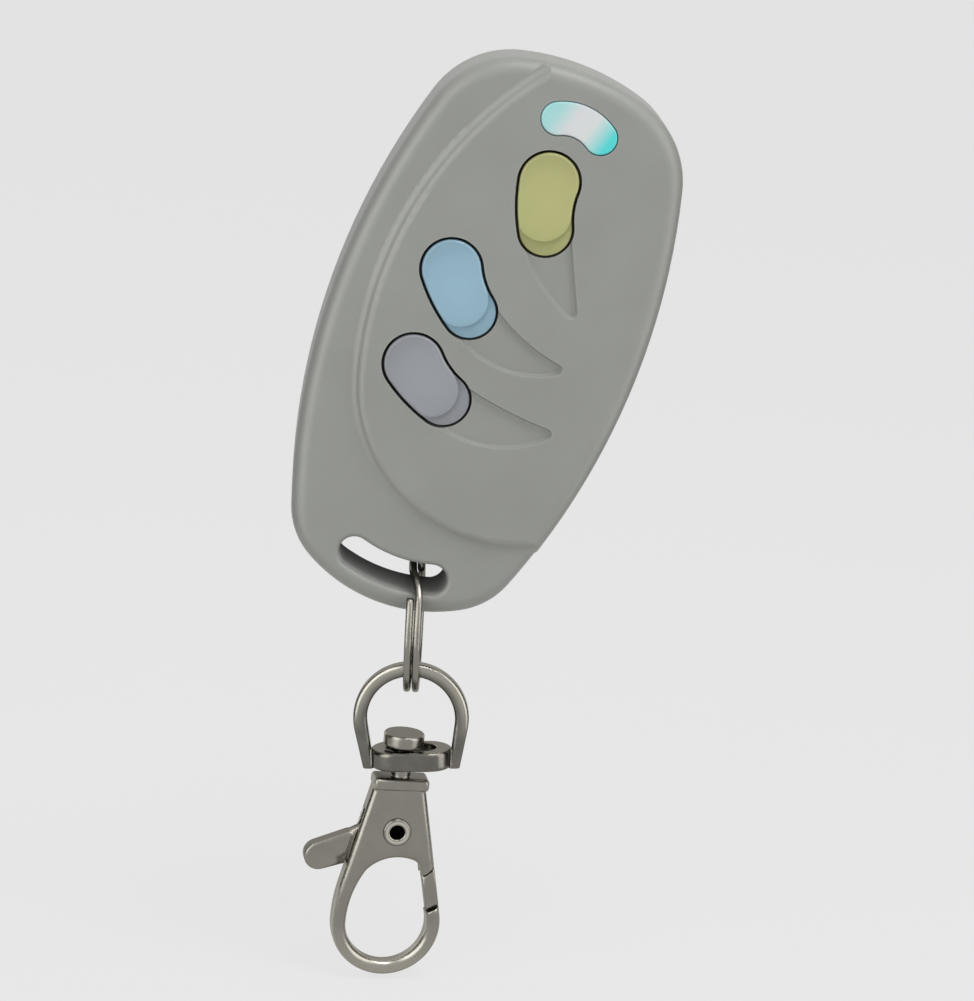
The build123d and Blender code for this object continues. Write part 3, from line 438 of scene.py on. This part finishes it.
def plated(name, colour, rough=0.20, stretch=None, mottle=0.05, shine=1.9, painted_highlight=None, highlight_gain=1.0):
    """Plated metal: darkened faces, a painted highlight along the edges and painted shade, near black,
    in the corners.

    An optional mask function says where the metal has a further painted highlight, and a gain how much
    brighter it is there.
    """
    s = Shader(name)
    # Clouds of lighter and darker tone: a painted reflection on the metal
    tone = mottled(s, colour, scale=420.0, share=mottle)
    # A further painted highlight where the given mask says
    if painted_highlight:
        tone = s.blend(painted_highlight(s), tone, shade(colour, highlight_gain))
    # Painted highlight along the edges
    tone = s.blend(s.edges(EDGE_REACH, start=0.985, end=0.80), tone, shade(colour, shine))
    # Painted shade, near black, in the corners
    corners = s.hollows(reach=0.0016, start=0.55, end=0.08)
    s.put("Base Color", s.blend(corners, tone, shade(colour, 0.22)))
    s.put("Metallic", 1.0)
    s.put("Specular Tint", (0.55, 0.54, 0.52))
    rub = s.noise(METAL_SCALE, detail=3.0, roughness=0.6, stretch=stretch)
    s.put("Roughness", s.vary(rub, rough - 0.04, rough + 0.06))
    waves = s.bump(s.noise(scale=320.0), depth=0.000018, under=s.rounded(SOFT_EDGE))
    s.put("Normal", s.bump(rub, depth=0.000003, under=waves))
    return s.material


def hollow_rivet(name, colour):
    """The rivet: a rolled rim with a painted highlight between rings of painted shade, and painted
    shade, near black, in its bore.
    """
    s = Shader(name)
    low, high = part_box("lever_rivet")
    out = s.off_axis((low + high) / 2, HOOK_FRONT, *RIVET_REACH)
    rim = [(place, shade(colour, light)) for place, light in RIVET_RIM]
    # Painted shade in the bore, and a painted highlight between shaded rings on the rim
    s.put("Base Color", s.ramp(out, [BORE_SHADE] + rim))
    s.put("Metallic", 1.0)
    s.put("Roughness", s.vary(s.noise(METAL_SCALE), 0.12, 0.2))
    return s.material


def lit_lens(name):
    """The clear window, with a painted glow as if lit from below: white in the middle, cyan at its
    ends, blue round its rim.
    """
    s = Shader(name)
    low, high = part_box("led_lens")
    corners = Vector((low.x, 0.0, high.z)), Vector((high.x, 0.0, low.z))
    ends = sorted(LENS_SLANT.dot(corner) for corner in corners)
    light = s.ramp(s.along(LENS_SLANT, *ends), LENS_COLOURS)
    rim = s.along(REARWARD, *(low.y + depth for depth in LENS_RIM))
    colour = s.blend(rim, light, LENS_RIM_BLUE)
    s.put("Base Color", colour)
    # Painted glow: the window emits its own colours
    s.put("Emission Color", colour)
    s.put("Emission Strength", 0.10)
    s.put("Roughness", s.vary(s.noise(scale=1500.0), 0.16, 0.26))
    s.put("Coat Weight", 0.4)
    s.put("Coat Roughness", 0.08)
    s.put("Normal", s.bump(s.noise(scale=700.0), depth=0.00001))
    return s.material


CASE_GREY = (0.285, 0.292, 0.270)
YELLOW = (0.435, 0.440, 0.180)
BLUE = (0.275, 0.445, 0.550)
BUTTON_GREY = (0.292, 0.306, 0.330)
NICKEL = (0.268, 0.255, 0.224)

case_plastic = case_moulding("case_plastic", CASE_GREY)
yellow_rubber = button_rubber("yellow_button", "button_upper", YELLOW, gap=(0.10, 0.10, 0.02))
blue_rubber = button_rubber("blue_button", "button_middle", BLUE, gap=(0.02, 0.06, 0.10))
grey_rubber = button_rubber("grey_button", "button_lower", BUTTON_GREY, gap=(0.02, 0.02, 0.02))
lens_plastic = lit_lens("lit_lens")
nickel = plated("nickel", NICKEL)
# The eye is a darker copy of the nickel, as painted shade, with a strong painted highlight on its edges
# and arch
nickel_eye = plated("nickel_eye", shade(NICKEL, 0.60), rough=0.17, mottle=0.14, shine=3.2,
                    painted_highlight=eye_highlight, highlight_gain=2.3)
nickel_hook = plated("nickel_hook", NICKEL, rough=0.21, painted_highlight=hook_highlight, highlight_gain=2.0)
# A brighter copy of the nickel, for the rivet's painted highlight
nickel_rivet = hollow_rivet("nickel_rivet", shade(NICKEL, 2.0))
spring_steel = plated("spring_steel", (0.45, 0.44, 0.42), rough=0.3)
screw_steel = plated("screw_steel", (0.55, 0.55, 0.54), rough=0.3)
cell_can = plated("cell_can", (0.62, 0.62, 0.60), rough=0.18, stretch=(1.0, 1.0, 0.1))
contact_plate = plated("contact_plate", (0.60, 0.58, 0.53), rough=0.25)
board_green = moulded("board_green", (0.015, 0.11, 0.045), rough=0.3, mottle=0.12, coat=0.5)
chip_black = moulded("chip_black", (0.018, 0.018, 0.020), rough=0.5)
resonator_cap = plated("resonator_cap", (0.62, 0.56, 0.40), rough=0.25)
copper = plated("copper", (0.62, 0.36, 0.18), rough=0.3)
ceramic_tan = moulded("ceramic_tan", (0.36, 0.25, 0.14), rough=0.4)
switch_case = moulded("switch_case", (0.03, 0.03, 0.033), rough=0.45)
plunger_plastic = moulded("plunger_plastic", (0.52, 0.48, 0.40), rough=0.4)
milky_resin = moulded("milky_resin", (0.80, 0.86, 0.86), rough=0.25, mottle=0.01, coat=0.4)

NODE_MATERIALS = {
    "front_cover": case_plastic,
    "rear_cover": case_plastic,
    "case_screws": screw_steel,
    "led_lens": lens_plastic,
    "circuit_board": board_green,
    "status_led": milky_resin,
    "encoder_chip": chip_black,
    "saw_resonator": resonator_cap,
    "antenna_loop": copper,
    "chip_parts": ceramic_tan,
    "battery_clip": contact_plate,
    "battery_contact": contact_plate,
    "coin_cell": cell_can,
    "switch_body_upper": switch_case,
    "switch_body_middle": switch_case,
    "switch_body_lower": switch_case,
    "switch_plunger_upper": plunger_plastic,
    "switch_plunger_middle": plunger_plastic,
    "switch_plunger_lower": plunger_plastic,
    "button_upper": yellow_rubber,
    "button_middle": blue_rubber,
    "button_lower": grey_rubber,
    "split_ring": nickel,
    "swivel_eye": nickel_eye,
    "clasp_body": nickel_hook,
    "lever_rivet": nickel_rivet,
    "lever_spring": spring_steel,
    "clasp_lever": nickel,
}
for node, material in NODE_MATERIALS.items():
    dress(frame["nodes"][node].data, material)


# Split ring: two turns of flat wire that all but touch, in the place of the CAD ring

RING_LEAN = radians(2.5)
WIRE_HEIGHT = 0.00135
WIRE_WIDTH = 0.00086
WIRE_GAP = 0.00014
# The wire crosses from the left turn to the right one between these angles from the top
CROSSING = (radians(8.0), radians(53.0))
STEPS_PER_TURN = 120
SECTION_POINTS = 16
# The lower this is under 1, the squarer is the wire's section
SECTION_POWER = 0.62


def squared(value):
    """A sine or cosine, moved out towards a square."""
    return copysign(abs(value) ** SECTION_POWER, value)


def wire_section():
    """Rounded section of the wire: (outward, sideways) points."""
    angles = [2 * pi * (k + 0.5) / SECTION_POINTS for k in range(SECTION_POINTS)]
    return [(squared(cos(angle)) * WIRE_HEIGHT / 2, squared(sin(angle)) * WIRE_WIDTH / 2)
            for angle in angles]


def eased(share):
    """A share from 0 to 1, and no further, that starts and ends softly."""
    share = min(1.0, max(0.0, share))
    return share * share * (3 - 2 * share)


def wire_sections():
    """Sections of one strip of wire: a turn on the left, the slanting crossing, a turn on the right."""
    low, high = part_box("split_ring")
    radius = (high.z - low.z - WIRE_HEIGHT) / 2
    up = UP * cos(RING_LEAN) - CHAIN_SIDE * sin(RING_LEAN)
    across = CHAIN_SIDE * cos(RING_LEAN) + UP * sin(RING_LEAN)
    centre = (low + high) / 2 + (up - UP) * radius
    first, last = CROSSING[1], 4 * pi + CROSSING[0]
    steps = round((last - first) / (2 * pi) * STEPS_PER_TURN)
    sections = []
    for step in range(steps + 1):
        angle = first + (last - first) * step / steps
        crossed = eased((angle - 2 * pi - CROSSING[0]) / (CROSSING[1] - CROSSING[0]))
        shift = (WIRE_WIDTH + WIRE_GAP) * (crossed - 0.5)
        outward = up * cos(angle) + CHAIN_FRONT * sin(angle)
        sections.append([centre + outward * (radius + out) + across * (shift + sideways)
                         for out, sideways in wire_section()])
    return sections


def make_split_ring():
    """The skin of the strip from section to section, with a face at each end."""
    sections = wire_sections()
    count = SECTION_POINTS
    last = (len(sections) - 1) * count
    faces = []
    for start in range(0, last, count):
        for k in range(count):
            a, b = start + k, start + (k + 1) % count
            faces.append((a, a + count, b + count, b))
    faces.append(tuple(range(count)))
    faces.append(tuple(range(last + count - 1, last - 1, -1)))
    verts = [point for section in sections for point in section]
    mesh = new_mesh("ring_wire", verts, faces, nickel)
    mesh.shade_smooth()
    ring = put_in_scene("ring_wire", mesh)
    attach(ring, "ring")
    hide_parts("split_ring")


make_split_ring()


# Lever: the CAD plate, cut back to the rim of the hook's opening so that its arm doesn't show there

# The opening's upper right corner, in the hook's plane, from the lever's pivot: two arcs, each with
# its centre, radius, and angles in degrees, and then straight edges
OPENING_ARCS = (
    ((0.00064, -0.00843), 0.00517, (98.0, 69.4)),
    ((0.00200, -0.00483), 0.00132, (69.4, 11.8)),
)
OPENING_EDGES = (
    (0.00354, -0.00577),
    (0.00376, -0.00670),
    (0.00370, -0.00700),
    (-0.00010, -0.00700),
)
ARC_STEPS = 10
CUT_DEPTH = 0.003
MERGE_DISTANCE = 1e-7
SHARP_ANGLE = radians(30.0)


def opening_outline():
    """The corner of the hook's opening: (sideways, upward) points from the lever's pivot."""
    points = []
    for (x, y), radius, (start, end) in OPENING_ARCS:
        for step in range(ARC_STEPS + 1):
            angle = radians(start + (end - start) * step / ARC_STEPS)
            points.append((x + radius * cos(angle), y + radius * sin(angle)))
    return points + list(OPENING_EDGES)


def to_mesh(form, name):
    mesh = bpy.data.meshes.new(name)
    form.to_mesh(mesh)
    form.free()
    return mesh


def make_cutter(pivot):
    """A prism through the hook, as wide as the corner of its opening."""
    form = bmesh.new()
    back, front = ([form.verts.new(pivot + HOOK_SIDE * x + UP * y + HOOK_FRONT * depth)
                    for x, y in opening_outline()]
                   for depth in (-CUT_DEPTH, CUT_DEPTH))
    form.faces.new(back)
    form.faces.new(list(reversed(front)))
    for k in range(len(back)):
        after = (k + 1) % len(back)
        form.faces.new((back[k], front[k], front[after], back[after]))
    bmesh.ops.recalc_face_normals(form, faces=form.faces)
    return put_in_scene("cutter", to_mesh(form, "cutter"))


def lever_pivot():
    joints = frame["record"]["behaviour"]["joints"]
    return next(Vector(joint["pos_m"]) for joint in joints if joint["name"] == "lever_open")


def make_lever():
    """The CAD plate's own mesh, cut and shaded again."""
    form = bmesh.new()
    form.from_mesh(frame["nodes"]["clasp_lever"].data)
    bmesh.ops.remove_doubles(form, verts=form.verts, dist=MERGE_DISTANCE)
    lever = put_in_scene("lever_plate", to_mesh(form, "plate"))
    cutter = make_cutter(lever_pivot())
    cut = lever.modifiers.new("cut", "BOOLEAN")
    cut.operation = "DIFFERENCE"
    cut.solver = "EXACT"
    cut.object = cutter
    bpy.context.view_layer.update()
    shaped = lever.evaluated_get(bpy.context.evaluated_depsgraph_get())
    lever.data = bpy.data.meshes.new_from_object(shaped)
    lever.modifiers.clear()
    bpy.data.objects.remove(cutter)
    lever.data.shade_smooth()
    lever.data.set_sharp_from_angle(angle=SHARP_ANGLE)
    dress(lever.data, nickel)
    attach(lever, "lever")
    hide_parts("clasp_lever")


make_lever()


# The ground and the light

# What the camera sees behind the object, as linear light, and its share in what it sees of the ground
PALE = (0.82, 0.82, 0.82)
GLOW_SHARE = 0.88

# The light of the room on the object
ROOM_LIGHT = (0.42, 0.42, 0.42)

GROUND_TONES = ((0.78, 0.78, 0.78), (0.79, 0.79, 0.79))
GROUND_REACH = 4.0
GROUND_GAP = 0.0006

# Cards beside the object: name, place on the ground, width and brightness
CARDS = (
    ("white_card_left", (-0.080, -0.075), 0.070, 3.0),
    ("dark_card_left", (-0.100, 0.010), 0.090, 0.05),
    ("white_card_right", (0.090, -0.050), 0.050, 2.6),
    ("dark_card_right", (0.100, 0.030), 0.090, 0.05),
)
CARD_HEIGHT = 0.16

# Lamps: name, place, width and height, and power in watts
LAMPS = (
    ("key", (-0.50, -0.60, 0.30), (0.50, 0.50), 1.58),
    ("fill", (0.60, -0.45, 0.25), (0.35, 0.60), 0.93),
    ("top", (0.09, -0.13, 0.36), (0.26, 0.18), 0.80),
)
LAMP_AIM = Vector((0.0, 0.0, -0.02))


def ground_material():
    """A pale matt sheet. The camera sees mostly its own even tone, with the object's shadow on it."""
    s = Shader("pale_ground")
    s.put("Base Color", s.tint(s.noise(scale=30.0), *GROUND_TONES))
    s.put("Roughness", 0.8)
    s.put("Specular IOR Level", 0.1)
    glow = s.add("ShaderNodeEmission", {"Color": PALE}).outputs["Emission"]
    mix = s.mix_shaders(s.times(s.seen(), GLOW_SHARE), s.surface.outputs["BSDF"], glow)
    s.feed(s.nodes["Material Output"].inputs["Surface"], mix)
    return s.material


def make_ground():
    level = cad_box[0].z - GROUND_GAP
    signs = ((-1, -1), (1, -1), (1, 1), (-1, 1))
    corners = [(x * GROUND_REACH, y * GROUND_REACH, level) for x, y in signs]
    ground = put_in_scene("ground", new_mesh("ground", corners, [(0, 1, 2, 3)], ground_material()))


def make_world():
    """Pale where the camera sees it, and darker where it lights the object."""
    world = bpy.data.worlds.new("studio")
    scene.world = world
    world.use_nodes = True
    w = Wiring(world.node_tree)
    backdrop = w.nodes["Background"]
    w.feed(backdrop.inputs["Color"], PALE)
    room = w.add("ShaderNodeBackground", {"Color": ROOM_LIGHT})
    mix = w.mix_shaders(w.seen(), room.outputs["Background"], backdrop.outputs["Background"])
    w.feed(w.nodes["World Output"].inputs["Surface"], mix)


def card_material(name, brightness):
    s = Shader(name)
    s.put("Base Color", (0.0, 0.0, 0.0))
    s.put("Specular IOR Level", 0.0)
    s.put("Emission Color", (1.0, 1.0, 1.0))
    s.put("Emission Strength", brightness)
    return s.material


def make_card(name, place, width, brightness):
    """A card that stands on the ground beside the object and faces it. Only shiny surfaces see it."""
    x, y = place
    outward = Vector((x, y, 0.0)).normalized()
    along = Vector((-outward.y, outward.x, 0.0)) * width / 2
    foot = Vector((x, y, cad_box[0].z))
    rise = UP * CARD_HEIGHT
    corners = [foot - along, foot + along, foot + along + rise, foot - along + rise]
    mesh = new_mesh(name, corners, [(0, 1, 2, 3)], card_material(name, brightness))
    card = put_in_scene(name, mesh)
    card.visible_camera = False
    card.visible_diffuse = False
    card.visible_transmission = False
    card.visible_shadow = False


def make_lamp(name, place, size, power):
    data = bpy.data.lights.new(name, "AREA")
    data.shape = "RECTANGLE"
    data.size, data.size_y = size
    data.energy = power
    lamp = put_in_scene(name, data)
    lamp.location = place
    lamp.rotation_mode = "QUATERNION"
    lamp.rotation_quaternion = (LAMP_AIM - Vector(place)).to_track_quat("-Z", "Y")


make_ground()
make_world()
for card in CARDS:
    make_card(*card)
for lamp in LAMPS:
    make_lamp(*lamp)

scene.view_settings.view_transform = "Standard"
